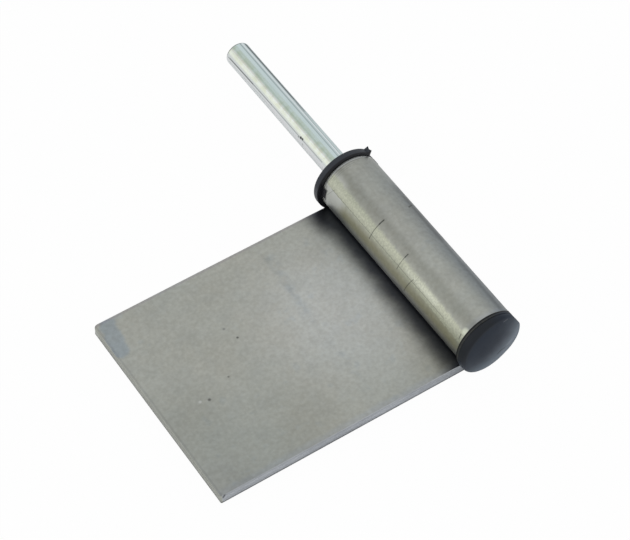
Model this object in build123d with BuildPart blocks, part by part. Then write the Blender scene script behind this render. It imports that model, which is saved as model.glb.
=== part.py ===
from build123d import *
from math import asin, degrees
import os

# Male half of a weld-on lift-off hinge. A sheared steel plate is rolled at one edge into a knuckle.
# A zinc-plated pin stands out of one end of the knuckle, through a flanged plastic thrust bush.
# A domed plastic cap plugs the other end. The part has no moving pieces of its own.
#
# Frame, in millimetres: the origin is on the pin's axis, in the thrust face that the other half lands on.
# +Y runs along the pin to its free tip, +Z is square to the leaf, and the leaf reaches out towards -X.

# Leaf and knuckle, one piece of plate
leaf_length = 80.0
leaf_reach = 100.0
plate_thickness = 4.0
knuckle_diameter = 22.0
seam_gap = 0.3
corner_radius = 1.5
rollover_radius = 0.5
edge_break = 0.25

# Pin, a straight rod
pin_diameter = 9.2
pin_reach = 69.7
pin_tip_radius = 1.0
pin_root_chamfer = 0.8
pin_groove_depth = 0.4

# Thrust bush, at the pin's end of the knuckle; its flange sits a little off centre, towards the leaf
bush_flange_diameter = 24.5
bush_flange_thickness = 2.4
bush_flange_offset = 0.4
bush_flange_edge = 0.35
bush_sleeve_length = 30.0
bush_lip_thickness = 1.2
pin_fit = 0.05
bore_fit = 0.1

# Key of the thrust bush, in a notch of the knuckle's rim
key_angle = 170.0
key_width = 3.8
key_depth = 2.2
key_fit = 0.12

# Both plastic pieces were moulded through a gate on a flat of the rim. The bush's gate was torn off,
# and a stub with two horns is left at the upper end of its flat.
gate_angle = 26.0
bush_gate_flat = 0.5
cap_gate_flat = 0.9
stub_angle = 44.0
stub_width = 2.0
stub_height = 1.3
stub_root = 1.0
stub_valley = 0.4

# End cap, at the other end; its flange is a little smaller than its head
cap_flange_inset = 0.1
cap_flange_thickness = 1.3
cap_flange_edge = 0.3
cap_neck_length = 0.3
cap_neck_depth = 0.4
cap_stem_length = 30.0
cap_socket_floor = 1.5
cap_head_diameter = 24.0
cap_head_height = 2.3
cap_head_rim = 0.75
cap_head_edge = 0.65
cap_crown = 1.55
cap_head_turn = 5.5
cap_head_nod = 2.4

# Sizes that follow from those above
knuckle_radius = knuckle_diameter / 2
bore_radius = knuckle_radius - plate_thickness
sleeve_radius = bore_radius - bore_fit
socket_radius = pin_diameter / 2 + pin_fit
pin_groove_radius = pin_diameter / 2 - pin_groove_depth
bush_lip_radius = pin_groove_radius + pin_fit
stub_root_radius = bush_flange_diameter / 2 - stub_root
stub_tip_radius = bush_flange_diameter / 2 + stub_height
cap_head_radius = cap_head_diameter / 2
cap_flange_radius = cap_head_radius - cap_flange_inset
knuckle_far_end = -bush_flange_thickness
knuckle_near_end = knuckle_far_end - leaf_length
pin_root = knuckle_near_end + cap_socket_floor
rolled_edge_angle = 180 + degrees(asin((bore_radius - seam_gap) / knuckle_radius))

os.makedirs("parts", exist_ok=True)


def cross_plane(y):
    """Plane square to the pin at the given height along it; it looks towards the end cap."""
    return Plane.XZ.offset(-y)


# Leaf: the section of plate and rolled knuckle, drawn out along the pin
with BuildPart() as leaf:
    with BuildSketch(cross_plane(knuckle_far_end)) as leaf_section:
        with BuildLine() as leaf_outline:
            underside = Line((-leaf_reach, -knuckle_radius), (0, -knuckle_radius))
            roll_outside = CenterArc((0, 0), knuckle_radius, -90, rolled_edge_angle + 90)
            roll_inside = CenterArc((0, 0), bore_radius, rolled_edge_angle, -rolled_edge_angle - 90)
            rolled_edge = Line(roll_outside @ 1, roll_inside @ 0)
            topside = Line(roll_inside @ 1, (-leaf_reach, -bore_radius))
            free_edge = Line(topside @ 1, underside @ 0)
        make_face()
    extrude(amount=leaf_length)

    # Free corners, rounded a little in the blank
    fillet(leaf.edges().filter_by(Axis.Z).group_by(Axis.X)[0], radius=corner_radius)

    # The shear draws the top edges in, and the roll carries them round the bore.
    # Each face's last edge is only the tangent line where the roll begins.
    bottom_face, top_face = leaf.faces().filter_by(Axis.Z).sort_by(Axis.Z)
    fillet(top_face.edges().sort_by(Axis.X)[:-1], radius=rollover_radius)
    bottom_face = leaf.faces().filter_by(Axis.Z).sort_by(Axis.Z)[0]
    chamfer(bottom_face.edges().sort_by(Axis.X)[:-1], length=edge_break)

    # Notch in the far rim for the bush's key
    with BuildSketch(cross_plane(knuckle_far_end)) as notch_section:
        with PolarLocations((bore_radius + knuckle_radius) / 2, 1, start_angle=key_angle):
            Rectangle(plate_thickness * 2, key_width + 2 * key_fit)
    extrude(amount=key_depth + key_fit, mode=Mode.SUBTRACT)
leaf.part.label = "leaf"
export_step(leaf.part, "parts/leaf.step")

# Pin: turned round, a rounded tip outside and a chamfered root in the end cap's socket.
# The bush's lip snaps into a groove just below the thrust face and keeps the pin from sliding out.
with BuildPart() as pin:
    with BuildSketch(cross_plane(pin_reach)) as pin_section:
        Circle(pin_diameter / 2)
    extrude(amount=pin_reach - pin_root)
    fillet(pin.edges().sort_by(Axis.Y)[-1], radius=pin_tip_radius)
    chamfer(pin.edges().sort_by(Axis.Y)[0], length=pin_root_chamfer)

    with BuildSketch(cross_plane(pin_fit)) as pin_groove:
        Circle(pin_diameter / 2)
        Circle(pin_groove_radius, mode=Mode.SUBTRACT)
    extrude(amount=bush_lip_thickness + 2 * pin_fit, mode=Mode.SUBTRACT)
pin.part.label = "pin"
export_step(pin.part, "parts/pin.step")

# Thrust bush: flange outside the knuckle, sleeve in its bore, key in its rim, a gate stub
# and a lip round the pin's groove
with BuildPart() as thrust_bush:
    with BuildSketch(cross_plane(0)) as bush_flange:
        with Locations((-bush_flange_offset, 0)):
            Circle(bush_flange_diameter / 2)
            with PolarLocations(bush_flange_diameter / 2 - bush_gate_flat, 1, start_angle=gate_angle):
                Rectangle(
                    bush_gate_flat * 2,
                    bush_flange_diameter,
                    align=(Align.MIN, Align.CENTER),
                    mode=Mode.SUBTRACT,
                )
    extrude(amount=bush_flange_thickness)
    chamfer(thrust_bush.edges().filter_by(Axis.Y, reverse=True), length=bush_flange_edge)

    with BuildSketch(cross_plane(knuckle_far_end)) as bush_sleeve:
        Circle(sleeve_radius)
    extrude(amount=bush_sleeve_length)

    with BuildSketch(cross_plane(knuckle_far_end)) as bush_key:
        with PolarLocations((sleeve_radius + knuckle_radius) / 2, 1, start_angle=key_angle):
            Rectangle(plate_thickness * 2, key_width)
        Circle(knuckle_radius, mode=Mode.INTERSECT)
    extrude(amount=key_depth)

    # The stub is a wedge as long as the flange is thick; where it tore, its crest sags between two horns
    with BuildSketch(cross_plane(0)) as stub_section:
        with Locations((-bush_flange_offset, 0)):
            with PolarLocations(stub_root_radius, 1, start_angle=stub_angle):
                Polygon((0, -stub_width / 2), (stub_root + stub_height, 0), (0, stub_width / 2), align=None)
    extrude(amount=bush_flange_thickness)
    with BuildSketch(Plane(origin=(-bush_flange_offset, 0, 0)).rotated((0, -stub_angle, 0))) as stub_sag:
        Polygon(
            (stub_tip_radius, 0),
            (stub_tip_radius - stub_valley, -bush_flange_thickness / 2),
            (stub_tip_radius, -bush_flange_thickness),
            align=None,
        )
    extrude(amount=stub_width / 2, both=True, mode=Mode.SUBTRACT)

    # The lip's mouth is flared to the full bore, so that the thrust face stays clear of the pin
    with BuildSketch(cross_plane(0)) as bush_lip_bore:
        Circle(bush_lip_radius)
    extrude(amount=bush_lip_thickness, mode=Mode.SUBTRACT)
    face_circles = thrust_bush.edges().filter_by(GeomType.CIRCLE).group_by(Axis.Y)[-1]
    chamfer(face_circles.sort_by(SortBy.RADIUS)[0], length=pin_groove_depth)
    with BuildSketch(cross_plane(-bush_lip_thickness)) as bush_bore:
        Circle(socket_radius)
    extrude(amount=bush_flange_thickness + bush_sleeve_length - bush_lip_thickness, mode=Mode.SUBTRACT)
thrust_bush.part.label = "thrust_bush"
export_step(thrust_bush.part, "parts/thrust_bush.step")

# End cap: a low domed head, a thin flange against the knuckle and a hollow stem in its bore.
# The head sits askew: its own plane is turned and nodded a few degrees out of square.
# It is drawn too deep and then cut square where the neck begins.
cap_flange_front = knuckle_near_end - cap_flange_thickness
cap_head_back = cap_flange_front - cap_neck_length
head_plane = Plane(
    origin=(0, knuckle_near_end - cap_head_height, 0), x_dir=(1, 0, 0), z_dir=(0, -1, 0)
).rotated((cap_head_nod, 0, cap_head_turn))
head_section_plane = Plane(
    origin=head_plane.origin, x_dir=head_plane.x_dir, z_dir=-head_plane.y_dir
)

with BuildPart() as end_cap:
    with BuildSketch(head_section_plane) as head_section:
        with BuildLine():
            rim = Line((cap_head_radius, -cap_head_radius), (cap_head_radius, cap_head_rim))
            crown = TangentArc((0, cap_head_rim + cap_crown), rim @ 1, tangent=(1, 0))
            Polyline(crown @ 0, (0, -cap_head_radius), rim @ 0)
        make_face()
        chamfer(head_section.vertices().group_by(Axis.X)[-1].sort_by(Axis.Y)[-1], length=cap_head_edge)
    revolve(axis=Axis(head_plane.origin, head_plane.z_dir))
    split(bisect_by=cross_plane(cap_head_back), keep=Keep.TOP)

    with BuildSketch(cross_plane(knuckle_near_end)) as cap_neck:
        Circle(cap_head_radius - cap_neck_depth)
    extrude(amount=cap_flange_thickness + cap_neck_length)

    with BuildSketch(cross_plane(knuckle_near_end)) as cap_flange:
        Circle(cap_flange_radius)
    extrude(amount=cap_flange_thickness)
    chamfer(end_cap.edges().group_by(Axis.Y)[-1], length=cap_flange_edge)

    # Flat on the rim, where the gate was trimmed off, through the flange and the head
    with BuildSketch(cross_plane(knuckle_near_end)) as gate_flat:
        with PolarLocations(cap_head_radius - cap_gate_flat, 1, start_angle=gate_angle):
            Rectangle(cap_gate_flat * 2, cap_head_diameter, align=(Align.MIN, Align.CENTER))
    extrude(amount=cap_head_radius, mode=Mode.SUBTRACT)

    with BuildSketch(cross_plane(knuckle_near_end + cap_stem_length)) as cap_stem:
        Circle(sleeve_radius)
    extrude(amount=cap_stem_length)
    with BuildSketch(cross_plane(knuckle_near_end + cap_stem_length)) as cap_socket:
        Circle(socket_radius)
    extrude(amount=cap_stem_length - cap_socket_floor, mode=Mode.SUBTRACT)
end_cap.part.label = "end_cap"
export_step(end_cap.part, "parts/end_cap.step")
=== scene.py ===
import math

import bmesh
import bpy
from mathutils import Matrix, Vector


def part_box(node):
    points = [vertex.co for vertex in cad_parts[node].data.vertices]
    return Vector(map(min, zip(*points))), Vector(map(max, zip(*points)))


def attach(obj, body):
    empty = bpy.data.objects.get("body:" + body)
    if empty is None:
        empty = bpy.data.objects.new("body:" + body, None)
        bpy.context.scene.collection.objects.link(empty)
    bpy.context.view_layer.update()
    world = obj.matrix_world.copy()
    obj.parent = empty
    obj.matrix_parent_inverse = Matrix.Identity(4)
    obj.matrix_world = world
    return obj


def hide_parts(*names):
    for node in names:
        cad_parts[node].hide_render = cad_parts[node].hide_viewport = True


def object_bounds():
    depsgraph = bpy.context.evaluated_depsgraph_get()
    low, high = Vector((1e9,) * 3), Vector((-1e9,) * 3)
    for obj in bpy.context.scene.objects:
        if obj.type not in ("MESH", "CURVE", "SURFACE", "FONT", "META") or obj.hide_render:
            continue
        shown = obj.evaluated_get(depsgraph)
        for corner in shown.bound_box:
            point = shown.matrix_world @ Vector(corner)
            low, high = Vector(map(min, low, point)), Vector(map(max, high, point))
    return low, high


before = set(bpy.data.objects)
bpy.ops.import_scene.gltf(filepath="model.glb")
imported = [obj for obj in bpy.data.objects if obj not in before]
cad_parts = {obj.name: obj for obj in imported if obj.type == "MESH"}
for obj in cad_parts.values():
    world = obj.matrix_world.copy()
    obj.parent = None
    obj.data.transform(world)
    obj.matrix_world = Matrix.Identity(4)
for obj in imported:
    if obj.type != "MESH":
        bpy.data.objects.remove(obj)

bpy.ops.object.select_all(action="DESELECT")
cad_low, cad_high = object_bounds()

# Camera: a long lens above the capped end of the knuckle, looking down across the leaf towards the pin's tip.
# Its place and turn were fitted to the outlines of the leaf, the knuckle and the pin.
camera_place = (-0.283852, -0.457417, 0.625048)
camera_turn_deg = (38.5383, 1.7192, -32.7405)
camera_lens_mm = 139.6916
camera_sensor_mm = 36.0

camera_data = bpy.data.cameras.new("camera")
camera_data.lens = camera_lens_mm
camera_data.sensor_width = camera_sensor_mm
camera_data.sensor_fit = "HORIZONTAL"
camera_data.clip_start = 0.01
camera = bpy.data.objects.new("camera", camera_data)
camera.location = camera_place
camera.rotation_euler = [math.radians(angle) for angle in camera_turn_deg]
bpy.context.scene.collection.objects.link(camera)
bpy.context.scene.camera = camera


# Leaf: one blank sheared from 4 mm rolled sheet steel, with no holes, because it is welded on by its edges.
# One long edge is rolled right round the pin's axis into the knuckle and ends just above the leaf's top face.
# The shear draws the top edge in and leaves a bright band, a duller torn band below and a burr at the foot.
sheet_thickness = 0.004
seam_gap = 0.0003
free_corner_radius = 0.0015
drawn_edge_radius = 0.0005
burr_height = 0.00006
foot_corner_share = 0.35
bright_band_depth = 0.0017
torn_band_taper = 0.0001
roll_steps = 96
cut_pitch = 0.00125
sheet_wave_height = 0.00006
sheet_wave_length = 0.022
notch_angle = math.radians(170.0)
notch_width = 0.00404
notch_depth = 0.00232
smooth_angle = math.radians(30)
touch = 1e-5

leaf_low, leaf_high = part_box("leaf")
knuckle_radius = leaf_high.z
bore_radius = knuckle_radius - sheet_thickness
leaf_top = leaf_low.z + sheet_thickness
leaf_middle_y = (leaf_low.y + leaf_high.y) / 2


def open_mesh(piece):
    """Starts edit mode on one piece alone, with all of it selected."""
    bpy.ops.object.select_all(action="DESELECT")
    piece.select_set(True)
    bpy.context.view_layer.objects.active = piece
    bpy.ops.object.mode_set(mode="EDIT")
    bpy.ops.mesh.select_mode(type="VERT")
    bpy.ops.mesh.select_all(action="SELECT")


def close_mesh():
    bpy.ops.object.mode_set(mode="OBJECT")


def pick(kind, test):
    """Selects those VERT, EDGE or FACE elements of the mesh in edit mode that pass the test."""
    bpy.ops.mesh.select_mode(type=kind)
    bpy.ops.mesh.select_all(action="DESELECT")
    mesh = bmesh.from_edit_mesh(bpy.context.edit_object.data)
    elements = {"VERT": mesh.verts, "EDGE": mesh.edges, "FACE": mesh.faces}[kind]
    for element in elements:
        if test(element):
            element.select_set(True)
    mesh.select_flush_mode()
    bmesh.update_edit_mesh(bpy.context.edit_object.data)


def apply_modifier(piece, kind, **settings):
    """Adds one modifier with these settings and applies it."""
    bpy.ops.object.select_all(action="DESELECT")
    piece.select_set(True)
    bpy.context.view_layer.objects.active = piece
    modifier = piece.modifiers.new(kind.lower(), kind)
    for setting, value in settings.items():
        setattr(modifier, setting, value)
    bpy.ops.object.modifier_apply(modifier=modifier.name)


def spun_block(name, angle, width, radii, heights):
    """A block between two radii and two heights along the pin, centred on an angle measured from +X to +Z."""
    turn = width / max(radii)
    bpy.ops.mesh.primitive_plane_add(size=1, location=(sum(radii) / 2, sum(heights) / 2, 0))
    block = bpy.context.object
    block.name = name
    block.scale = (max(radii) - min(radii), max(heights) - min(heights), 1)
    bpy.ops.object.transform_apply(location=True, rotation=False, scale=True)
    open_mesh(block)
    bpy.ops.mesh.spin(steps=8, angle=turn, center=(0, 0, 0), axis=(0, 1, 0))
    bpy.ops.mesh.select_all(action="SELECT")
    bpy.ops.mesh.normals_make_consistent(inside=False)
    close_mesh()
    middle = sum((v.co for v in block.data.vertices), Vector()) / len(block.data.vertices)
    block.rotation_euler.y = -(angle - math.atan2(middle.z, middle.x))
    bpy.ops.object.transform_apply(location=False, rotation=True, scale=False)
    return block


def combine(piece, tool, operation):
    """Joins a tool to the piece, or cuts it out of the piece, and throws the tool away."""
    apply_modifier(piece, "BOOLEAN", object=tool, operation=operation, solver="EXACT")
    bpy.data.objects.remove(tool)


# The blank, with its free corners rounded and its edges as the shear leaves them
blank_middle = (leaf_low.x / 2, leaf_middle_y, leaf_low.z + sheet_thickness / 2)
bpy.ops.mesh.primitive_cube_add(size=1, location=blank_middle)
leaf = bpy.context.object
leaf.name = "steel_leaf"
leaf.scale = (-leaf_low.x, leaf_high.y - leaf_low.y, sheet_thickness)
bpy.ops.object.transform_apply(location=True, rotation=False, scale=True)
open_mesh(leaf)


def ends(edge, test):
    """Tells whether both ends of an edge pass the test."""
    return all(test(vertex.co) for vertex in edge.verts)


pick(
    "EDGE",
    lambda e: ends(e, lambda p: p.x < leaf_low.x + touch) and e.calc_length() < sheet_thickness + touch,
)
bpy.ops.mesh.bevel(offset=free_corner_radius, segments=6, affect="EDGES")
bpy.ops.mesh.select_all(action="SELECT")
bpy.ops.mesh.bisect(plane_co=(0, 0, leaf_top - bright_band_depth), plane_no=(0, 0, 1))
pick("EDGE", lambda e: ends(e, lambda p: p.z > leaf_top - touch) and not ends(e, lambda p: p.x > -touch))
bpy.ops.mesh.bevel(offset=drawn_edge_radius, segments=4, affect="EDGES")
pick("EDGE", lambda e: ends(e, lambda p: p.z < leaf_low.z + touch) and not ends(e, lambda p: p.x > -touch))
bpy.ops.mesh.bevel(offset=burr_height, segments=1, affect="EDGES")

# At the foot of the cut the free corners are left sharper
foot_top = leaf_low.z + burr_height + touch
for corner_y in (leaf_low.y, leaf_high.y):
    corner = Vector((leaf_low.x, corner_y))
    pick("VERT", lambda v: v.co.z < foot_top and (v.co.xy - corner).length < free_corner_radius + touch)
    bpy.ops.transform.resize(
        value=(foot_corner_share, foot_corner_share, 1), center_override=(*corner, leaf_low.z)
    )

# The torn band leans in a little below the bright one
pick("VERT", lambda v: v.co.z < leaf_top - bright_band_depth - touch)
bpy.ops.transform.resize(
    value=(1 + torn_band_taper / leaf_low.x, 1 - 2 * torn_band_taper / (leaf_high.y - leaf_low.y), 1),
    center_override=(0, leaf_middle_y, 0),
)

# The roll: the edge of the blank is carried round the bore until its end stands just clear of the top face
rolled_turn = math.radians(270) + math.asin((bore_radius - seam_gap) / knuckle_radius)
pick("FACE", lambda f: f.normal.x > 0.9)
bpy.ops.mesh.spin(steps=roll_steps, angle=rolled_turn, center=(0, 0, 0), axis=(0, 1, 0))

# Raw sheared faces get a finish of their own
leaf.data.materials.append(None)
leaf.data.materials.append(None)
pick(
    "FACE",
    lambda f: abs(f.normal.y) > 0.7 or f.normal.x < -0.7 and f.calc_center_median().x < leaf_low.x / 2,
)
leaf.active_material_index = 1
bpy.ops.object.material_slot_assign()

# Fine cuts across and along, so that the sheet can carry the slight waves of rolled steel
cut_count = round((leaf_high.y - leaf_low.y) / cut_pitch)
for cut in range(1, cut_count):
    bpy.ops.mesh.select_all(action="SELECT")
    bpy.ops.mesh.bisect(plane_co=(0, leaf_low.y + cut * cut_pitch, 0), plane_no=(0, 1, 0))
cut_count = round(-leaf_low.x / cut_pitch)
for cut in range(1, cut_count):
    pick("FACE", lambda f: f.calc_center_median().z < leaf_top + touch and f.calc_center_median().x < touch)
    bpy.ops.mesh.bisect(plane_co=(leaf_low.x + cut * cut_pitch, 0, 0), plane_no=(1, 0, 0))
bpy.ops.mesh.select_all(action="SELECT")
bpy.ops.mesh.remove_doubles(threshold=1e-6)
close_mesh()

notch = spun_block(
    "notch", notch_angle, notch_width, (bore_radius - 0.001, knuckle_radius + 0.001),
    (leaf_high.y - notch_depth, leaf_high.y + 0.001),
)
combine(leaf, notch, "DIFFERENCE")
waves = bpy.data.textures.new("sheet_waves", "CLOUDS")
waves.noise_scale = sheet_wave_length
waves.noise_depth = 1
apply_modifier(leaf, "DISPLACE", texture=waves, strength=sheet_wave_height, mid_level=1.0)
bpy.ops.object.shade_smooth_by_angle(angle=smooth_angle)
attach(leaf, "root")
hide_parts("leaf")


def add_node(tree, kind, sockets=(), **settings):
    """Adds a shader node. Each socket is given a value, or another node's output that is wired to it."""
    node = tree.nodes.new(kind)
    for setting, value in settings.items():
        setattr(node, setting, value)
    for key, value in dict(sockets).items():
        if isinstance(value, bpy.types.NodeSocket):
            tree.links.new(value, node.inputs[key])
        else:
            node.inputs[key].default_value = value
    return node


def maths(tree, operation, *values):
    """The result of one sum on values and outputs."""
    return add_node(tree, "ShaderNodeMath", enumerate(values), operation=operation).outputs[0]


def vector_maths(tree, operation, *values):
    """The result of one sum on vectors: a number for a length, a distance or a dot product."""
    node = add_node(tree, "ShaderNodeVectorMath", enumerate(values), operation=operation)
    return node.outputs["Value" if operation in ("LENGTH", "DISTANCE", "DOT_PRODUCT") else "Vector"]


def new_group(name, inputs, outputs):
    """A shader node group with named sockets. Returns its tree, its inputs and its output node."""
    tree = bpy.data.node_groups.new(name, "ShaderNodeTree")
    for socket, (kind, value) in inputs.items():
        new_socket = tree.interface.new_socket(socket, in_out="INPUT", socket_type="NodeSocket" + kind)
        new_socket.default_value = value
    for socket, kind in outputs.items():
        tree.interface.new_socket(socket, in_out="OUTPUT", socket_type="NodeSocket" + kind)
    return tree, tree.nodes.new("NodeGroupInput").outputs, tree.nodes.new("NodeGroupOutput")


def use_group(tree, group, **sockets):
    """Places a node group in a material and gives its output. An underscore stands for a space in a name."""
    named = {key.replace("_", " "): value for key, value in sockets.items()}
    return add_node(tree, "ShaderNodeGroup", named, node_tree=group).outputs[0]


# Mottle: uneven tone, from blotches down to grain
mottle, given, result = new_group(
    "mottle",
    {
        "Place": ("Vector", (0, 0, 0)), "Size": ("Float", 0.01),
        "Detail": ("Float", 2.0), "Spread": ("Float", 0.2),
    },
    {"Tone": "Float"},
)
noise = add_node(
    mottle, "ShaderNodeTexNoise",
    {
        "Vector": given["Place"], "Scale": maths(mottle, "DIVIDE", 1.0, given["Size"]),
        "Detail": given["Detail"],
    },
)
tone = add_node(
    mottle, "ShaderNodeMapRange",
    {
        "Value": noise.outputs[0],
        "From Min": maths(mottle, "SUBTRACT", 0.5, given["Spread"]),
        "From Max": maths(mottle, "ADD", 0.5, given["Spread"]),
    },
)
mottle.links.new(tone.outputs[0], result.inputs["Tone"])

# Spot: one soft round mark, such as a pit, a stain or a speck
spot, given, result = new_group(
    "spot",
    {
        "Place": ("Vector", (0, 0, 0)), "Centre": ("Vector", (0, 0, 0)),
        "Radius": ("Float", 0.001), "Core": ("Float", 0.3),
    },
    {"Mask": "Float"},
)
away = vector_maths(spot, "DISTANCE", given["Place"], given["Centre"])
fade = add_node(
    spot, "ShaderNodeMapRange",
    {
        "Value": away, "From Min": maths(spot, "MULTIPLY", given["Radius"], given["Core"]),
        "From Max": given["Radius"], "To Min": 1.0, "To Max": 0.0,
    },
    interpolation_type="SMOOTHSTEP",
)
spot.links.new(fade.outputs[0], result.inputs["Mask"])

# Score: one straight scratch between two points
score, given, result = new_group(
    "score",
    {
        "Place": ("Vector", (0, 0, 0)), "Start": ("Vector", (0, 0, 0)), "End": ("Vector", (0, 0, 0)),
        "Width": ("Float", 0.0002),
    },
    {"Mask": "Float"},
)
reach = vector_maths(score, "SUBTRACT", given["End"], given["Start"])
offset = vector_maths(score, "SUBTRACT", given["Place"], given["Start"])
reach_squared = vector_maths(score, "DOT_PRODUCT", reach, reach)
along = vector_maths(score, "DOT_PRODUCT", offset, reach)
share = add_node(score, "ShaderNodeMath", {0: along, 1: reach_squared}, operation="DIVIDE", use_clamp=True)
foot = add_node(score, "ShaderNodeVectorMath", {0: reach, "Scale": share.outputs[0]}, operation="SCALE")
gap = vector_maths(score, "DISTANCE", offset, foot.outputs[0])
mask = add_node(
    score, "ShaderNodeMapRange",
    {"Value": gap, "From Max": given["Width"], "To Min": 1.0, "To Max": 0.0},
    interpolation_type="SMOOTHSTEP",
)
score.links.new(mask.outputs[0], result.inputs["Mask"])

# Band: full between a low and a high value, and fading out past both
band, given, result = new_group(
    "band",
    {"Value": ("Float", 0.0), "Low": ("Float", 0.0), "High": ("Float", 1.0), "Fade": ("Float", 0.1)},
    {"Mask": "Float"},
)
rise = add_node(
    band, "ShaderNodeMapRange",
    {
        "Value": given["Value"], "From Min": maths(band, "SUBTRACT", given["Low"], given["Fade"]),
        "From Max": given["Low"],
    },
    interpolation_type="SMOOTHSTEP",
)
fall = add_node(
    band, "ShaderNodeMapRange",
    {
        "Value": given["Value"], "From Min": given["High"],
        "From Max": maths(band, "ADD", given["High"], given["Fade"]), "To Min": 1.0, "To Max": 0.0,
    },
    interpolation_type="SMOOTHSTEP",
)
band.links.new(maths(band, "MULTIPLY", rise.outputs[0], fall.outputs[0]), result.inputs["Mask"])

# Unrolled: a place on a round piece as (length round from the top, place along the pin, 0)
unrolled, given, result = new_group(
    "unrolled", {"Place": ("Vector", (0, 0, 0)), "Radius": ("Float", 0.01)}, {"Place": "Vector"}
)
apart = add_node(unrolled, "ShaderNodeSeparateXYZ", {0: given["Place"]}).outputs
turn = maths(unrolled, "ARCTAN2", apart["X"], apart["Z"])
length_round = maths(unrolled, "MULTIPLY", turn, given["Radius"])
flat = add_node(unrolled, "ShaderNodeCombineXYZ", {"X": length_round, "Y": apart["Y"]})
unrolled.links.new(flat.outputs[0], result.inputs["Place"])


def new_material(name, **constants):
    """A material with a Principled shader, its constants set on the shader's own sockets."""
    material = bpy.data.materials.new(name)
    material.use_nodes = True
    shader = material.node_tree.nodes["Principled BSDF"]
    for socket, value in constants.items():
        shader.inputs[socket.replace("_", " ")].default_value = value
    place = material.node_tree.nodes.new("ShaderNodeTexCoord").outputs["Object"]
    return material, material.node_tree, shader, place


def blend_colour(tree, factor, first, second, blend_type="MIX"):
    """Mixes two colours, each a value or an output, by a mask."""
    node = add_node(tree, "ShaderNodeMix", data_type="RGBA", blend_type=blend_type)
    for key, value in ((0, factor), (6, first), (7, second)):
        if isinstance(value, bpy.types.NodeSocket):
            tree.links.new(value, node.inputs[key])
        else:
            node.inputs[key].default_value = value if key == 0 else (*value, 1.0)
    return node.outputs[2]


def painted(tree, colour, mask, paint, strength=1.0, blend_type="MIX"):
    """Lays a paint on a colour where the mask is full. The strength is a value or a second mask."""
    if strength != 1.0:
        mask = maths(tree, "MULTIPLY", mask, strength)
    return blend_colour(tree, mask, colour, paint, blend_type)


def tinted(tree, colour, mask, tint, strength=1.0):
    """Multiplies a colour by a tint where the mask is full."""
    return painted(tree, colour, mask, tint, strength, "MULTIPLY")


def remap(tree, value, low_value, high_value):
    """Spreads a mask from 0 to 1 over another range."""
    node = add_node(tree, "ShaderNodeMapRange", {"Value": value, "To Min": low_value, "To Max": high_value})
    return node.outputs[0]


def add_bump(tree, shader, height, strength, distance):
    bump = add_node(tree, "ShaderNodeBump", {"Height": height, "Strength": strength, "Distance": distance})
    tree.links.new(bump.outputs[0], shader.inputs["Normal"])


def leaf_place(across, along):
    """A place on the leaf's top face, from its millimetres across and along the pin."""
    return (across / 1000, along / 1000, leaf_top)


def arc_at(degrees_round, radius):
    """The length round a piece from its top to this angle, which is measured from +X to +Z."""
    return math.radians(90 - degrees_round) * radius


def round_place(degrees_round, along, radius=knuckle_radius):
    """An unrolled place on a round piece, from its angle and its millimetres along the pin."""
    return (arc_at(degrees_round, radius), along / 1000, 0)


# Rolled steel: dull, a little mottled and bluish in patches. Where the roll meets the leaf a dark band is
# painted shade. A painted highlight lies in a stripe along the knuckle, up to a fine line.
steel_dark = (0.430, 0.430, 0.384)
steel_light = (0.512, 0.514, 0.461)
steel, tree, shader, place = new_material("rolled_steel", Metallic=1.0)
x, y, z = add_node(tree, "ShaderNodeSeparateXYZ", {0: place}).outputs
around = use_group(tree, unrolled, Place=place, Radius=knuckle_radius)
arc = add_node(tree, "ShaderNodeSeparateXYZ", {0: around}).outputs[0]
blotches = use_group(tree, mottle, Place=place, Size=0.014, Detail=4.0, Spread=0.25)
grain = use_group(tree, mottle, Place=place, Size=0.0012, Detail=3.0, Spread=0.3)
tone = add_node(tree, "ShaderNodeMix", {"Factor": 0.5, "A": blotches, "B": grain}).outputs[0]
colour = blend_colour(tree, tone, steel_dark, steel_light)
specks = use_group(tree, mottle, Place=place, Size=0.0013, Detail=4.0, Spread=0.16)
speckled = blend_colour(tree, specks, (0.935, 0.93, 0.92), (1.055, 1.058, 1.06))
colour = tinted(tree, colour, 1.0, speckled)
smears = use_group(tree, mottle, Place=place, Size=0.005, Detail=3.0, Spread=0.18)
smeared = blend_colour(tree, smears, (0.965, 0.97, 0.978), (1.02, 1.017, 1.008))
colour = tinted(tree, colour, 1.0, smeared)
patches = use_group(tree, mottle, Place=place, Size=0.03, Detail=5.0, Spread=0.12)
colour = tinted(tree, colour, patches, (0.92, 0.98, 1.04), 0.35)

# Broad uneven tone of the leaf: (place in millimetres, radius, tint)
for centre, radius, tint in (
    ((-29, -41), 42, (1.22, 1.22, 1.28)),
    ((-75, -80), 34, (0.88, 0.89, 0.89)),
    ((-98, -55), 26, (0.86, 0.87, 0.87)),
    ((-96, -80), 18, (0.88, 0.88, 0.89)),
    ((-17, -79), 12, (0.91, 0.91, 0.90)),
):
    mark = use_group(tree, spot, Place=place, Centre=leaf_place(*centre), Radius=radius / 1000, Core=0.1)
    colour = tinted(tree, colour, mark, tint)

# Bluish patch by the far free corner, and a bluish strip with a ragged side along the near edge
patch = use_group(
    tree, score, Place=place, Start=leaf_place(-96.0, -4.5), End=leaf_place(-97.5, -16.5), Width=0.0046
)
frayed = remap(tree, use_group(tree, mottle, Place=place, Size=0.005, Detail=5.0, Spread=0.2), -0.28, 0.28)
patch = use_group(tree, band, Value=maths(tree, "ADD", patch, frayed), Low=0.60, High=2.0, Fade=0.50)
colour = tinted(tree, colour, patch, (0.80, 0.87, 0.99))
ragged = use_group(tree, mottle, Place=place, Size=0.006, Detail=3.0, Spread=0.3)
ragged = remap(tree, ragged, -0.0007, 0.0007)
near_strip = use_group(tree, band, Value=maths(tree, "ADD", y, ragged), Low=-0.1, High=-0.0816, Fade=0.0022)
colour = tinted(tree, colour, near_strip, (0.95, 0.97, 1.04))

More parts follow.
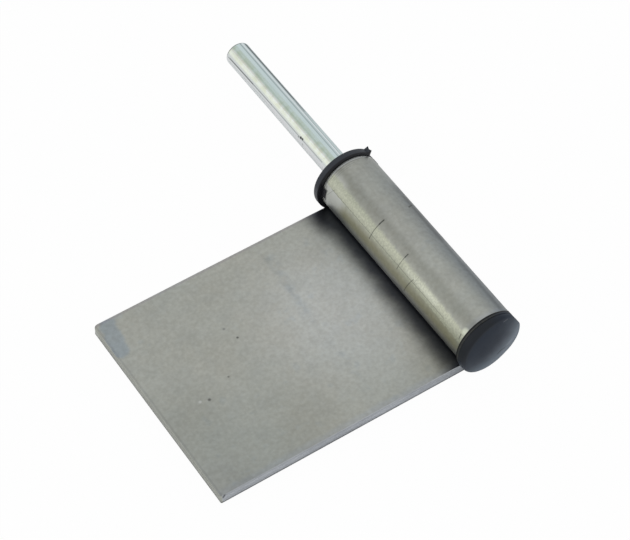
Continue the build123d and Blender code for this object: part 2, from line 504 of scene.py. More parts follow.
# A faint line along the far edge
far_line = use_group(tree, band, Value=y, Low=-0.0034, High=0.0, Fade=0.0004)
on_leaf = use_group(tree, band, Value=x, Low=-0.2, High=-0.014, Fade=0.003)
colour = tinted(tree, colour, far_line, (0.91, 0.88, 0.93), on_leaf)

# Soft bluish streak along the leaf, and a faint broken scratch in it: (start, end in millimetres, strength)
streak = use_group(
    tree, score, Place=place, Start=leaf_place(-36.8, -11.0), End=leaf_place(-39.8, -40.0), Width=0.0032
)
broken = use_group(tree, mottle, Place=place, Size=0.003, Detail=3.0, Spread=0.15)
streak = maths(tree, "MULTIPLY", streak, broken)
colour = tinted(tree, colour, streak, (0.90, 0.935, 0.985), 0.9)
for start, end, strength in (
    ((-38.2, -8.6), (-38.6, -26.0), 0.36),
    ((-38.6, -26.0), (-39.4, -41.1), 0.36),
    ((-39.4, -41.1), (-39.4, -57.0), 0.32),
    ((-39.4, -57.0), (-39.0, -71.0), 0.30),
):
    scratch = use_group(
        tree, score, Place=place, Start=leaf_place(*start), End=leaf_place(*end), Width=0.0015
    )
    scratch = maths(tree, "MULTIPLY", scratch, remap(tree, broken, 0.2, 1.0))
    colour = tinted(tree, colour, scratch, (0.75, 0.76, 0.78), strength)

# Pits and specks: (place in millimetres, radius, colour)
for centre, radius, mark_colour in (
    ((-63.33, -32.93), 0.65, (0.15, 0.15, 0.14)),
    ((-73.95, -44.69), 0.60, (0.24, 0.24, 0.22)),
    ((-83.7, -49.0), 0.85, (0.17, 0.17, 0.16)),
    ((-86.6, -48.1), 0.85, (0.56, 0.57, 0.54)),
    ((-65.2, -27.5), 0.70, (0.29, 0.30, 0.28)),
):
    mark = use_group(tree, spot, Place=place, Centre=leaf_place(*centre), Radius=radius / 1000, Core=0.2)
    colour = painted(tree, colour, mark, mark_colour)

# Line where the shear drew in the free edge
drawn_in = use_group(tree, band, Value=x, Low=-0.0997, High=-0.0992, Fade=0.0003)
colour = tinted(tree, colour, drawn_in, (0.74, 0.74, 0.76), 0.5)

# Painted shade along the roll's meeting with the leaf, a little wider by the thrust bush
by_bush = remap(tree, use_group(tree, band, Value=y, Low=-0.004, High=0.0, Fade=0.012), 0.0, 0.0028)
from_roll = maths(tree, "ADD", maths(tree, "ADD", x, ragged), by_bush)
seam_shade = maths(
    tree, "MULTIPLY",
    use_group(tree, band, Value=from_roll, Low=-0.0106, High=0.0, Fade=0.0085),
    use_group(tree, band, Value=z, Low=-0.0075, High=-0.0065, Fade=0.002),
)
colour = tinted(tree, colour, seam_shade, (0.135, 0.141, 0.178))

# Knuckle: painted shade on a cooler flank that darkens towards the cap and on the crest, a painted olive
# reflection of the leaf at the foot, a soft shade and a dark line along the far edge, and a bare patch by the
# bush
# Painted shade on the cooler flank, deeper towards the cap
towards_cap = add_node(
    tree, "ShaderNodeMath", {0: y, 1: -12.0, 2: 0.28}, operation="MULTIPLY_ADD", use_clamp=True
)
flank_shade = maths(
    tree, "MULTIPLY",
    use_group(tree, band, Value=arc, Low=0.0074, High=0.011, Fade=0.0085),
    towards_cap.outputs[0],
)
on_top = use_group(tree, band, Value=z, Low=0.0, High=0.02, Fade=0.002)
on_roll = use_group(tree, band, Value=z, Low=-0.006, High=0.02, Fade=0.0005)
flank_shade = maths(tree, "MULTIPLY", flank_shade, on_top)
colour = tinted(tree, colour, flank_shade, (0.53, 0.565, 0.64))
# Painted shade beside the highlight stripe
shade_by_stripe = use_group(tree, band, Value=arc, Low=-0.0068, High=-0.0048, Fade=0.0028)
colour = tinted(tree, colour, shade_by_stripe, (0.80, 0.80, 0.78), on_top)
# Painted reflection of the leaf and its shade, olive at the foot of the knuckle
foot = use_group(tree, band, Value=arc, Low=-0.0155, High=-0.0145, Fade=0.003)
colour = tinted(tree, colour, foot, (0.83, 0.80, 0.71), on_roll)
greenish_reflection = use_group(tree, band, Value=arc, Low=-0.0152, High=-0.0120, Fade=0.0012)
colour = tinted(tree, colour, greenish_reflection, (1.01, 1.01, 0.91), on_roll)
# Painted shade on the crest, on the half towards the bush
crest = maths(
    tree, "MULTIPLY",
    use_group(tree, band, Value=arc, Low=-0.0045, High=0.0048, Fade=0.0025),
    use_group(tree, band, Value=y, Low=-0.042, High=0.01, Fade=0.014),
)
colour = tinted(tree, colour, crest, (0.925, 0.925, 0.93))
shade = use_group(
    tree, score, Place=around, Start=round_place(42, -20), End=round_place(42, -45), Width=0.0045
)
colour = tinted(tree, colour, shade, (0.61, 0.615, 0.635))
far_edge_line = use_group(
    tree, score, Place=around, Start=round_place(46, -25), End=round_place(53, -80), Width=0.0020
)
colour = tinted(tree, colour, far_edge_line, (0.75, 0.75, 0.75))
bare = use_group(tree, spot, Place=around, Centre=round_place(158, -7), Radius=0.0092, Core=0.5)
bare = maths(tree, "MULTIPLY", bare, maths(tree, "MULTIPLY", on_roll, 0.8))
colour = painted(tree, colour, bare, (0.66, 0.67, 0.63))

# Painted highlight in a stripe: it leans a little off the pin's line, ends raggedly towards the leaf and is
# brightest towards the cap
jagged = use_group(tree, mottle, Place=around, Size=0.0016, Detail=4.0, Spread=0.25)
jagged = remap(tree, jagged, -0.0004, 0.0004)
leaning = maths(tree, "MULTIPLY_ADD", maths(tree, "ADD", y, 0.007), -0.0233, maths(tree, "ADD", arc, jagged))
stripe = maths(
    tree, "MULTIPLY",
    use_group(tree, band, Value=leaning, Low=-0.0111, High=0.1, Fade=0.00025),
    use_group(tree, band, Value=leaning, Low=-0.1, High=-0.0078, Fade=0.0015),
)
flecks = use_group(tree, mottle, Place=around, Size=0.0007, Detail=3.0, Spread=0.2)
stripe_highlight = blend_colour(tree, flecks, (0.43, 0.44, 0.345), (0.605, 0.62, 0.487))
# Brighter and duller places in the painted highlight
bright_place = use_group(tree, spot, Place=around, Centre=round_place(139, -66), Radius=0.015, Core=0.3)
stripe_highlight = tinted(tree, stripe_highlight, bright_place, (1.13, 1.13, 1.13))
brightest = use_group(
    tree, score, Place=around, Start=round_place(141, -50), End=round_place(140, -66), Width=0.0019
)
stripe_highlight = tinted(tree, stripe_highlight, brightest, (1.16, 1.16, 1.20))
dull_side = use_group(
    tree, score, Place=around, Start=round_place(129, -6), End=round_place(129, -30), Width=0.0032
)
stripe_highlight = tinted(tree, stripe_highlight, dull_side, (0.87, 0.88, 0.88))
colour = painted(tree, colour, stripe, stripe_highlight, 0.9)
# A painted glint by the cap, at the stripe's end
glint_by_cap = use_group(tree, spot, Place=around, Centre=round_place(133.5, -81.3), Radius=0.0017, Core=0.3)
colour = painted(tree, colour, glint_by_cap, (0.72, 0.745, 0.61), 0.8)

# Lines and scores on the knuckle: (start, end, width in millimetres, depth of tone)
for start, end, width, depth in (
    ((148.3, -6.5), (148.0, -72), 0.16, 0.55),
    ((113.6, -30.3), (124, -30.25), 0.42, 0.95),
    ((122, -30.25), (157, -30.15), 0.28, 0.80),
    ((121, -46.2), (128, -46.15), 0.36, 0.90),
    ((127, -46.15), (155, -46.0), 0.25, 0.68),
    ((143, -53.9), (155, -53.2), 0.28, 0.62),
    ((155, -53.2), (181, -51.7), 0.32, 0.68),
    ((132, -55.1), (147, -54.9), 0.18, 0.40),
    ((58, -29.8), (43, -28.4), 0.45, 0.80),
    ((143, -80.6), (152, -80.9), 0.40, 0.65),
    ((165, -5.6), (144.5, -7.7), 0.16, 0.45),
    # Where the flange meets the knuckle's far rim, a dark line of painted shade
    ((30, -2.5), (190, -2.5), 0.34, 0.75),
    ((70, -3.8), (142, -3.8), 0.18, 0.35),
    ((85, -4.6), (137, -4.6), 0.16, 0.35),
    ((95, -5.3), (132, -5.3), 0.16, 0.30),
    ((159, -2.4), (159, -4.9), 0.40, 0.85),
    ((159, -4.9), (181, -4.9), 0.40, 0.85),
    ((157, -4.4), (152, -4.0), 0.25, 0.50),
):
    line = use_group(
        tree, score, Place=around, Start=round_place(*start), End=round_place(*end), Width=width / 1000
    )
    colour = painted(tree, colour, line, (0.05, 0.055, 0.05), depth)

# Light on the knuckle's far rim
rim_light = maths(
    tree, "MULTIPLY",
    use_group(tree, band, Value=y, Low=-0.0033, High=-0.0030, Fade=0.0003),
    use_group(tree, band, Value=arc, Low=-0.0105, High=0.0085, Fade=0.003),
)
colour = painted(tree, colour, rim_light, (0.72, 0.74, 0.74), 0.7)
tree.links.new(colour, shader.inputs["Base Color"])
rough = remap(tree, tone, 0.42, 0.35)
rough = add_node(tree, "ShaderNodeMix", {"Factor": stripe, "A": rough, "B": 0.32}).outputs[0]
tree.links.new(rough, shader.inputs["Roughness"])
add_bump(tree, shader, grain, 0.25, 0.00005)
leaf.data.materials[0] = steel

# Sheared steel: bluer and barer than the sheet's faces, drawn into fine lines along the cut
sheared, tree, shader, place = new_material("sheared_steel", Metallic=1.0)
drawn = add_node(tree, "ShaderNodeMapping", {"Vector": place, "Scale": (0.06, 0.06, 1.0)}).outputs[0]
lines = use_group(tree, mottle, Place=drawn, Size=0.0009, Detail=3.0, Spread=0.25)
blotches = use_group(tree, mottle, Place=place, Size=0.004, Detail=4.0, Spread=0.25)
tone = add_node(tree, "ShaderNodeMix", {"Factor": 0.4, "A": lines, "B": blotches}).outputs[0]
x, y, z = add_node(tree, "ShaderNodeSeparateXYZ", {0: place}).outputs
colour = blend_colour(tree, tone, (0.48, 0.50, 0.53), (0.74, 0.765, 0.80))
# Painted reflection: the free side is tinted warmer and darker than the near side
free_side = use_group(tree, band, Value=x, Low=-0.2, High=-0.0995, Fade=0.0005)
colour = tinted(tree, colour, free_side, (0.93, 0.91, 0.78))
# Painted shade on the burr at the foot of the cut
burr_shade_line = use_group(tree, band, Value=z, Low=-0.02, High=-0.0106, Fade=0.0004)
colour = tinted(tree, colour, burr_shade_line, (0.42, 0.42, 0.42))
lip_line = use_group(tree, band, Value=z, Low=-0.0077, High=0.02, Fade=0.0004)
colour = tinted(tree, colour, lip_line, (0.84, 0.84, 0.83))
corner_stain = use_group(
    tree, score, Place=place, Start=(-0.0984, leaf_low.y, -0.0073), End=(-0.0990, leaf_low.y, -0.0083),
    Width=0.0006,
)
colour = painted(tree, colour, corner_stain, (0.07, 0.07, 0.08), 0.85)
tree.links.new(colour, shader.inputs["Base Color"])
tree.links.new(remap(tree, tone, 0.42, 0.30), shader.inputs["Roughness"])
add_bump(tree, shader, tone, 0.2, 0.0001)
leaf.data.materials[1] = sheared

# Pin: a straight steel rod, turned to a rounded tip and bright zinc plated.
# It is fixed: the thrust bush's lip holds its groove, and its root stands in the end cap's socket.
tip_radius = 0.001
root_chamfer = 0.0008
pin_groove_depth = 0.0004
pin_groove_ends = (-0.00125, 0.00005)
tip_insets = (0.0006, 0.0010)

pin_low, pin_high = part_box("pin")
pin_radius = pin_high.x
bpy.ops.mesh.primitive_cylinder_add(
    vertices=128, radius=pin_radius, depth=pin_high.y - pin_low.y,
    location=(0, (pin_low.y + pin_high.y) / 2, 0), rotation=(math.radians(90), 0, 0),
)
pin = bpy.context.object
pin.name = "zinc_pin"
bpy.ops.object.transform_apply(location=True, rotation=True, scale=True)
open_mesh(pin)
pick("EDGE", lambda e: ends(e, lambda p: p.y > pin_high.y - touch))
bpy.ops.mesh.bevel(offset=tip_radius, segments=8, affect="EDGES")
pick("EDGE", lambda e: ends(e, lambda p: p.y < pin_low.y + touch))
bpy.ops.mesh.bevel(offset=root_chamfer, segments=1, affect="EDGES")
for groove_end in pin_groove_ends:
    bpy.ops.mesh.select_all(action="SELECT")
    bpy.ops.mesh.bisect(plane_co=(0, groove_end, 0), plane_no=(0, 1, 0))
pick("FACE", lambda f: pin_groove_ends[0] < f.calc_center_median().y < pin_groove_ends[1])
bpy.ops.mesh.extrude_region_shrink_fatten(TRANSFORM_OT_shrink_fatten={"value": -pin_groove_depth})
pick("FACE", lambda f: f.normal.y > 0.9999)
for tip_inset in tip_insets:
    bpy.ops.mesh.inset(thickness=tip_inset)
close_mesh()
bpy.ops.object.shade_smooth_by_angle(angle=smooth_angle)
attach(pin, "root")
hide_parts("pin")

# Bright zinc: pale and a little green, with fine lines from the drawing of the rod and painted reflections
# along it
zinc, tree, shader, place = new_material("bright_zinc", Metallic=1.0)
around = use_group(tree, unrolled, Place=place, Radius=pin_radius)
arc = add_node(tree, "ShaderNodeSeparateXYZ", {0: around}).outputs[0]
drawn = add_node(tree, "ShaderNodeMapping", {"Vector": around, "Scale": (1.0, 0.02, 1.0)}).outputs[0]
draw_lines = use_group(tree, mottle, Place=drawn, Size=0.0008, Detail=3.0, Spread=0.3)
clouds = use_group(tree, mottle, Place=place, Size=0.006, Detail=4.0, Spread=0.3)
tone = add_node(tree, "ShaderNodeMix", {"Factor": 0.5, "A": draw_lines, "B": clouds}).outputs[0]
colour = blend_colour(tree, tone, (0.65, 0.775, 0.77), (0.76, 0.86, 0.855))
# Painted light on the side towards the leaf, brighter and warmer
bright = use_group(
    tree, band, Value=arc, Low=arc_at(215, pin_radius), High=arc_at(121, pin_radius), Fade=0.0005
)
colour = tinted(tree, colour, bright, (1.26, 1.13, 1.12))

# Painted reflections along the rod: (low and high angle off +X towards +Z, fade in millimetres, strength,
# tint)
for low_angle, high_angle, fade, strength, tint in (
    (130, 146, 0.3, 0.9, (0.97, 0.98, 0.89)),
    (161, 184, 0.6, 1.0, (1.12, 1.13, 1.12)),
    (111, 122.5, 0.4, 0.9, (0.86, 0.86, 0.80)),
    (99, 111, 0.5, 0.9, (0.90, 0.91, 0.86)),
    (70, 76, 0.2, 0.85, (0.87, 0.88, 0.89)),
    (64, 68, 0.3, 0.9, (1.25, 1.14, 1.15)),
    (58, 61, 0.2, 0.6, (0.85, 0.86, 0.87)),
):
    streak = use_group(
        tree, band, Value=arc, Low=arc_at(high_angle, pin_radius), High=arc_at(low_angle, pin_radius),
        Fade=fade / 1000,
    )
    colour = tinted(tree, colour, streak, tint, strength)

# The far side darkens towards the tip, and the side towards the leaf is smudged
y = add_node(tree, "ShaderNodeSeparateXYZ", {0: place}).outputs[1]
far_side = maths(
    tree, "MULTIPLY",
    use_group(
        tree, band, Value=arc, Low=arc_at(53, pin_radius), High=arc_at(40, pin_radius), Fade=0.0006
    ),
    use_group(tree, band, Value=y, Low=0.038, High=1.0, Fade=0.018),
)
colour = tinted(tree, colour, far_side, (0.62, 0.64, 0.66))
smudges = use_group(tree, mottle, Place=place, Size=0.003, Detail=5.0, Spread=0.08)
smudged = use_group(
    tree, band, Value=arc, Low=arc_at(135, pin_radius), High=arc_at(102, pin_radius), Fade=0.0008
)
smudged = maths(tree, "MULTIPLY", smudged, smudges)
colour = tinted(tree, colour, smudged, (0.80, 0.80, 0.66), 0.55)

# Fine dark lines, and a black one on the far side towards the tip: (start, end, width in millimetres, depth)
for start, end, width, depth in (
    ((151, 8), (154, 40), 0.35, 0.45),
    ((154, 40), (159, 67), 0.40, 0.55),
    ((156, 52), (161, 68), 0.45, 0.60),
    ((168, 40), (176, 67), 0.25, 0.30),
    ((79, 0), (77, 70), 0.40, 0.40),
    ((62, 0), (58, 34), 0.25, 0.40),
    ((48, 37), (49, 68), 0.75, 1.0),
    ((48, 30), (49, 68), 0.50, 0.8),
):
    line = use_group(
        tree, score, Place=around, Start=round_place(*start, pin_radius), End=round_place(*end, pin_radius),
        Width=width / 1000,
    )
    colour = painted(tree, colour, line, (0.05, 0.06, 0.06), depth)

# The turned tip is darker, and small stains lie below the middle: (angle, millimetres along, radius, depth)
tip_ring = use_group(tree, band, Value=y, Low=pin_high.y - 0.00065, High=1.0, Fade=0.0003)
colour = painted(tree, colour, tip_ring, (0.18, 0.195, 0.18), 0.85)
for stain_angle, along, radius, depth in (
    (151, 21.3, 0.7, 0.95),
    (149, 20.3, 0.6, 0.90),
    (157, 22.5, 0.5, 0.50),
    (168, 19.5, 0.4, 0.50),
):
    stain = use_group(
        tree, spot, Place=around, Centre=round_place(stain_angle, along, pin_radius), Radius=radius / 1000,
        Core=0.4,
    )
    colour = painted(tree, colour, stain, (0.03, 0.03, 0.025), depth)
tree.links.new(colour, shader.inputs["Base Color"])
tree.links.new(remap(tree, tone, 0.30, 0.22), shader.inputs["Roughness"])
add_bump(tree, shader, draw_lines, 0.3, 0.00003)
pin.data.materials.append(zinc)

# Thrust bush: moulded in black plastic. Its flange, a little off the pin's axis, carries the other half.
# Its sleeve fills the bore, a lip holds the pin's groove and a key sits in the knuckle's notch. A stub with
# two horns is left where the gate tore off.
flange_radius = 0.01225
flange_offset = 0.0004
flange_thickness = 0.0024
flange_edge = 0.00035
lip_radius = 0.00425
lip_thickness = 0.0012
lip_flare = 0.0004
sleeve_fit = 0.0001
pin_fit = 0.00005
key_width = 0.0038
key_depth = 0.0022
gate_angle = math.radians(26.0)
flange_flat = 0.00095
stub_angle = math.radians(44.0)
stub_width = 0.002
stub_height = 0.0013
stub_sink = 0.001
stub_sag = 0.0004
round_steps = 160

bush_low, bush_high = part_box("thrust_bush")
flange_back = bush_high.y - flange_thickness
flange_middle = bush_high.y - flange_thickness / 2
sleeve_radius = bore_radius - sleeve_fit
socket_radius = pin_radius + pin_fit


def draw_section(name, corners):
    """Draws a section as a wire: one point, extruded from corner to corner."""
    bpy.ops.mesh.primitive_plane_add(size=0.001, location=(*corners[0], 0))
    piece = bpy.context.object
    piece.name = name
    bpy.ops.object.transform_apply(location=True, rotation=False, scale=True)
    open_mesh(piece)
    bpy.ops.mesh.merge(type="CENTER")
    bpy.ops.mesh.select_all(action="SELECT")
    for here, there in zip(corners, corners[1:]):
        step = (there[0] - here[0], there[1] - here[1], 0)
        bpy.ops.mesh.extrude_region_move(TRANSFORM_OT_translate={"value": step})
    return piece


def revolve(steps):
    """Turns the section, which starts and ends on the pin's axis, once round it and closes the seam."""
    bpy.ops.mesh.select_all(action="SELECT")
    bpy.ops.mesh.spin(steps=steps, angle=math.radians(360), center=(0, 0, 0), axis=(0, 1, 0))
    bpy.ops.mesh.select_all(action="SELECT")
    bpy.ops.mesh.remove_doubles(threshold=1e-6)
    bpy.ops.mesh.select_all(action="SELECT")
    bpy.ops.mesh.normals_make_consistent(inside=False)
    close_mesh()


def cut_flat(angle, distance):
    """Cuts a flat, square to this direction round the pin, off the mesh in edit mode."""
    bpy.ops.mesh.select_all(action="SELECT")
    outward = Vector((math.cos(angle), 0, math.sin(angle)))
    bpy.ops.mesh.bisect(plane_co=outward * distance, plane_no=outward, clear_outer=True, use_fill=True)


# Flange: a disc with its flat, all edges rounded, set off the axis towards the leaf
bpy.ops.mesh.primitive_cylinder_add(
    vertices=round_steps, radius=flange_radius, depth=flange_thickness,
    location=(0, flange_middle, 0), rotation=(math.radians(90), 0, 0),
)
bush = bpy.context.object
bush.name = "thrust_bush_moulding"
bpy.ops.object.transform_apply(location=True, rotation=True, scale=True)
open_mesh(bush)
cut_flat(gate_angle, flange_radius - flange_flat)
pick("EDGE", lambda e: abs(e.verts[0].co.y - e.verts[1].co.y) < touch)
bpy.ops.mesh.bevel(offset=flange_edge, segments=4, affect="EDGES")
bpy.ops.mesh.select_all(action="SELECT")
bpy.ops.transform.translate(value=(-flange_offset, 0, 0))
close_mesh()

sleeve_corners = [
    (0, flange_middle), (sleeve_radius, flange_middle), (sleeve_radius, bush_low.y), (0, bush_low.y),
]
sleeve = draw_section("sleeve", sleeve_corners)
revolve(round_steps)
combine(bush, sleeve, "UNION")
key = spun_block(
    "key", notch_angle, key_width, (sleeve_radius - 0.0005, knuckle_radius),
    (flange_back - key_depth, flange_middle),
)
combine(bush, key, "UNION")

# Stub: a block whose outer face is pinched to a crest, and the crest pulled down in the middle
stub_root = flange_radius - stub_sink
stub_tip = flange_radius + stub_height
bpy.ops.mesh.primitive_cube_add(size=1, location=((stub_root + stub_tip) / 2, flange_middle, 0))
stub = bpy.context.object
stub.name = "gate_stub"
stub.scale = (stub_tip - stub_root, flange_thickness, stub_width)
bpy.ops.object.transform_apply(location=True, rotation=False, scale=True)
open_mesh(stub)
pick("VERT", lambda v: v.co.x > stub_tip - touch)
bpy.ops.transform.resize(value=(1, 1, 0), center_override=(stub_tip, flange_middle, 0))
bpy.ops.mesh.select_all(action="SELECT")
bpy.ops.mesh.remove_doubles(threshold=1e-6)
bpy.ops.mesh.select_all(action="SELECT")
bpy.ops.mesh.bisect(plane_co=(0, flange_middle, 0), plane_no=(0, 1, 0))
pick("VERT", lambda v: v.co.x > stub_tip - touch and abs(v.co.y - flange_middle) < touch)
bpy.ops.transform.translate(value=(-stub_sag, 0, 0))
close_mesh()
stub.rotation_euler.y = -stub_angle
stub.location.x -= flange_offset
bpy.ops.object.transform_apply(location=True, rotation=True, scale=False)
combine(bush, stub, "UNION")

# Bore: a close lip round the pin's groove, flared at the thrust face, and the socket for the rod below it
past_end = 0.0005
bore = draw_section(
    "bore",
    [
        (0, bush_high.y + past_end), (lip_radius + lip_flare + past_end, bush_high.y + past_end),
        (lip_radius, bush_high.y - lip_flare), (lip_radius, bush_high.y - lip_thickness),
        (socket_radius, bush_high.y - lip_thickness), (socket_radius, bush_low.y - past_end),
        (0, bush_low.y - past_end),
    ],
)
revolve(round_steps)
combine(bush, bore, "DIFFERENCE")
bpy.context.view_layer.objects.active = bush
bush.select_set(True)
bpy.ops.object.shade_smooth_by_angle(angle=smooth_angle)
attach(bush, "root")
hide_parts("thrust_bush")

# Black plastic: semi-matte and a little blue, with a painted highlight on the flange's rim towards the leaf
plastic, tree, shader, place = new_material("black_plastic", Roughness=0.42, Specular_IOR_Level=0.3)
clouds = use_group(tree, mottle, Place=place, Size=0.004, Detail=4.0, Spread=0.3)
grain = use_group(tree, mottle, Place=place, Size=0.0003, Detail=2.0, Spread=0.3)
colour = blend_colour(tree, clouds, (0.025, 0.029, 0.037), (0.038, 0.043, 0.053))
# Painted highlight on the flange's rim towards the leaf
rim_highlight = use_group(tree, spot, Place=place, Centre=(-0.0125, -0.001, -0.001), Radius=0.006, Core=0.2)
colour = painted(tree, colour, rim_highlight, (0.085, 0.088, 0.098))
y = add_node(tree, "ShaderNodeSeparateXYZ", {0: place}).outputs[1]
shaded = use_group(tree, band, Value=y, Low=-0.1, High=flange_back + 0.0002, Fade=0.0002)
colour = painted(tree, colour, shaded, (0.014, 0.014, 0.018))
tree.links.new(colour, shader.inputs["Base Color"])
add_bump(tree, shader, grain, 0.2, 0.00004)
bush.data.materials.append(plastic)

# End cap: moulded in the same black plastic and pushed into the other end of the bore. A thin flange lies
# on the knuckle, and the low domed head outside it sits a few degrees askew. A flat on both shows where the
# gate was trimmed.
cap_flange_radius = 0.0119
cap_flange_thickness = 0.0013
cap_flange_edge = 0.0003
cap_neck_radius = 0.0116
cap_neck_length = 0.0003
cap_socket_floor = 0.0015
head_radius = 0.012
head_height = 0.0023
head_rim = 0.00075
head_rounding = 0.0008
head_crown = 0.00155
head_turn = math.radians(5.5)
head_nod = math.radians(2.4)
cap_gate_flat = 0.0009
dome_steps = 12
head_overlap = 0.0005

cap_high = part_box("end_cap")[1]
knuckle_near_end = leaf_low.y
cap_flange_front = knuckle_near_end - cap_flange_thickness
head_back = cap_flange_front - cap_neck_length


def round_corner(corner, offset, segments):
    """Rounds the corner of a section that lies at this place."""
    pick("VERT", lambda v: (v.co.xy - Vector(corner)).length < touch)
    bpy.ops.mesh.bevel(offset=offset, segments=segments, affect="VERTICES")


cap = draw_section(
    "end_cap_moulding",
    [
        (0, knuckle_near_end + cap_socket_floor), (socket_radius, knuckle_near_end + cap_socket_floor),
        (socket_radius, cap_high.y), (sleeve_radius, cap_high.y), (sleeve_radius, knuckle_near_end),
        (cap_flange_radius, knuckle_near_end), (cap_flange_radius, cap_flange_front),
        (cap_neck_radius, cap_flange_front), (cap_neck_radius, head_back - head_overlap),
        (0, head_back - head_overlap),
    ],
)
round_corner((cap_flange_radius, knuckle_near_end), cap_flange_edge, 4)
revolve(round_steps)

dome = [
    (head_radius * (1 - step / dome_steps), -head_rim - head_crown * (1 - (1 - step / dome_steps) ** 2))
    for step in range(dome_steps + 1)
]
head = draw_section("head", [(0, head_radius), (head_radius, head_radius), *dome])
round_corner(dome[0], head_rounding, 6)
revolve(round_steps)
head.rotation_euler = (head_nod, 0, head_turn)
head.location.y = knuckle_near_end - head_height
bpy.ops.object.transform_apply(location=True, rotation=True, scale=False)
open_mesh(head)
bpy.ops.mesh.bisect(plane_co=(0, head_back, 0), plane_no=(0, 1, 0), clear_outer=True, use_fill=True)
close_mesh()
combine(cap, head, "UNION")
open_mesh(cap)
cut_flat(gate_angle, head_radius - cap_gate_flat)
close_mesh()
bpy.context.view_layer.objects.active = cap
cap.select_set(True)
bpy.ops.object.shade_smooth_by_angle(angle=smooth_angle)
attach(cap, "root")
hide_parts("end_cap")

# The cap's face is smoother and bluer than the bush, with a painted highlight growing paler towards its lower
# right
cap_plastic, tree, shader, place = new_material("cap_plastic", Roughness=0.36, Specular_IOR_Level=0.22)
x, y, z = add_node(tree, "ShaderNodeSeparateXYZ", {0: place}).outputs
clouds = use_group(tree, mottle, Place=place, Size=0.003, Detail=4.0, Spread=0.25)
colour = blend_colour(tree, clouds, (0.011, 0.018, 0.032), (0.017, 0.025, 0.040))
lean = maths(tree, "MULTIPLY_ADD", x, 0.52, maths(tree, "MULTIPLY", z, -0.85))
lean = maths(tree, "ADD", lean, remap(tree, clouds, -0.0006, 0.0006))
# Painted highlight towards the lower right, with more of it near the rim
face_sheen = use_group(tree, band, Value=lean, Low=0.0115, High=1.0, Fade=0.0145)
on_face = use_group(tree, band, Value=y, Low=-1.0, High=head_back - 0.0004, Fade=0.0006)
flat_face = add_node(tree, "ShaderNodeMapping", {"Vector": place, "Scale": (1.0, 0.0, 1.0)}).outputs[0]
off_axis = vector_maths(tree, "LENGTH", flat_face)
rim_sheen = maths(
    tree, "MULTIPLY",
    use_group(tree, band, Value=off_axis, Low=0.0105, High=1.0, Fade=0.0055),
    use_group(tree, band, Value=lean, Low=0.002, High=1.0, Fade=0.010),
)
face_sheen = maths(tree, "MULTIPLY", maths(tree, "MULTIPLY_ADD", rim_sheen, 0.2, face_sheen), on_face)
colour = painted(tree, colour, face_sheen, (0.175, 0.212, 0.255))

# Marks on the face: (start, end as x and z, width in millimetres, depth, colour)
for start, end, width, depth, mark_colour in (
    # Painted highlight beside the nick, then the dark nick itself
    ((6.0, -4.2), (7.6, -3.5), 0.8, 0.50, (0.30, 0.34, 0.38)),
    ((2.0, -5.2), (3.1, -4.6), 0.7, 0.80, (0.010, 0.012, 0.014)),
    ((3.1, -4.6), (4.7, -4.8), 0.6, 0.65, (0.010, 0.012, 0.014)),
    ((4.7, -4.8), (6.7, -5.1), 0.5, 0.40, (0.010, 0.012, 0.014)),
    # Painted glint near the top of the face
    ((4.0, 9.5), (5.6, 9.3), 0.4, 0.60, (0.13, 0.14, 0.16)),
):
    mark = use_group(
        tree, score, Place=flat_face, Start=(start[0] / 1000, 0, start[1] / 1000),
        End=(end[0] / 1000, 0, end[1] / 1000), Width=width / 1000,
    )
    colour = painted(tree, colour, mark, mark_colour, depth)

# Towards the leaf the flange's rim is speckled with a painted olive reflection of the knuckle, and the head's
# rim is darker.
# The foot of the flange is in shadow.
to_leaf = use_group(tree, band, Value=x, Low=-1.0, High=-0.002, Fade=0.008)
head_rim_dark = maths(
    tree, "MULTIPLY",
    use_group(tree, band, Value=off_axis, Low=0.0117, High=1.0, Fade=0.0018),
    use_group(tree, band, Value=z, Low=0.002, High=1.0, Fade=0.006),
)
colour = painted(tree, colour, head_rim_dark, (0.015, 0.018, 0.023), to_leaf)
rim_specks = use_group(tree, mottle, Place=place, Size=0.0009, Detail=3.0, Spread=0.15)
flange_reflection = maths(
    tree, "MULTIPLY", remap(tree, rim_specks, 0.3, 1.0),
    use_group(tree, band, Value=y, Low=cap_flange_front - 0.0001, High=1.0, Fade=0.0001),
)
colour = painted(tree, colour, flange_reflection, (0.050, 0.051, 0.045), to_leaf)
in_shadow = use_group(tree, band, Value=y, Low=knuckle_near_end - 0.0005, High=1.0, Fade=0.0003)
colour = painted(tree, colour, in_shadow, (0.002, 0.002, 0.003))
tree.links.new(colour, shader.inputs["Base Color"])
grain = use_group(tree, mottle, Place=place, Size=0.0003, Detail=2.0, Spread=0.3)
add_bump(tree, shader, grain, 0.2, 0.00004)
cap.data.materials.append(cap_plastic)

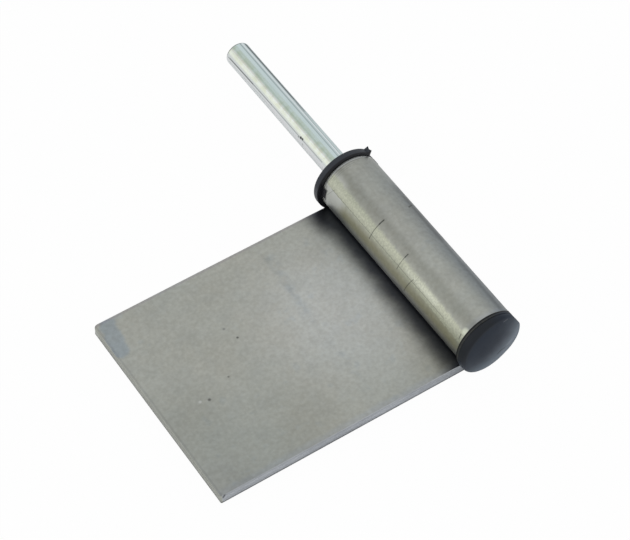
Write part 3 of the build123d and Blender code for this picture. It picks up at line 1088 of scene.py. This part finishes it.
# Floor and light: a white table under soft light. The table shows the camera plain white, and keeps a faint
# trace of the object's shadow.
floor_size = 6.0
floor_white = (0.88, 0.88, 0.88, 1.0)
floor_plain_share = 0.975
bpy.ops.mesh.primitive_plane_add(size=floor_size, location=(0, 0, cad_low.z))
floor = bpy.context.object
floor.name = "floor"
table = bpy.data.materials.new("white_table")
table.use_nodes = True
tree = table.node_tree
tree.nodes.clear()
rays = tree.nodes.new("ShaderNodeLightPath")
lit = add_node(tree, "ShaderNodeBsdfDiffuse", {"Color": floor_white})
plain = add_node(tree, "ShaderNodeEmission", {"Color": (1, 1, 1, 1), "Strength": 1.0})
share = maths(tree, "MULTIPLY", rays.outputs["Is Camera Ray"], floor_plain_share)
surface = add_node(tree, "ShaderNodeMixShader", {0: share, 1: lit.outputs[0], 2: plain.outputs[0]})
add_node(tree, "ShaderNodeOutputMaterial", {"Surface": surface.outputs[0]})
floor.data.materials.append(table)

world = bpy.data.worlds.new("room")
bpy.context.scene.world = world
world.use_nodes = True
tree = world.node_tree
tree.nodes.clear()
rays = tree.nodes.new("ShaderNodeLightPath")
seen = maths(tree, "MAXIMUM", rays.outputs["Is Camera Ray"], rays.outputs["Is Transmission Ray"])
room = add_node(tree, "ShaderNodeBackground", {"Color": (0.97, 0.985, 1.0, 1.0), "Strength": 0.75})
backdrop = add_node(tree, "ShaderNodeBackground", {"Color": (1, 1, 1, 1), "Strength": 1.0})
surface = add_node(tree, "ShaderNodeMixShader", {0: seen, 1: room.outputs[0], 2: backdrop.outputs[0]})
add_node(tree, "ShaderNodeOutputWorld", {"Surface": surface.outputs[0]})

# One soft box beyond the pin, on the leaf's side, faces the object
box_data = bpy.data.lights.new("left_box", "AREA")
box_data.shape = "RECTANGLE"
box_data.size = 0.8
box_data.size_y = 0.6
box_data.energy = 0.35
box_data.color = (1.0, 0.99, 0.94)
soft_box = bpy.data.objects.new("left_box", box_data)
soft_box.location = (-0.94, 0.62, 0.41)
soft_box.rotation_euler = (-Vector(soft_box.location)).to_track_quat("-Z", "Y").to_euler()
bpy.context.scene.collection.objects.link(soft_box)

bpy.context.scene.view_settings.view_transform = "Standard"
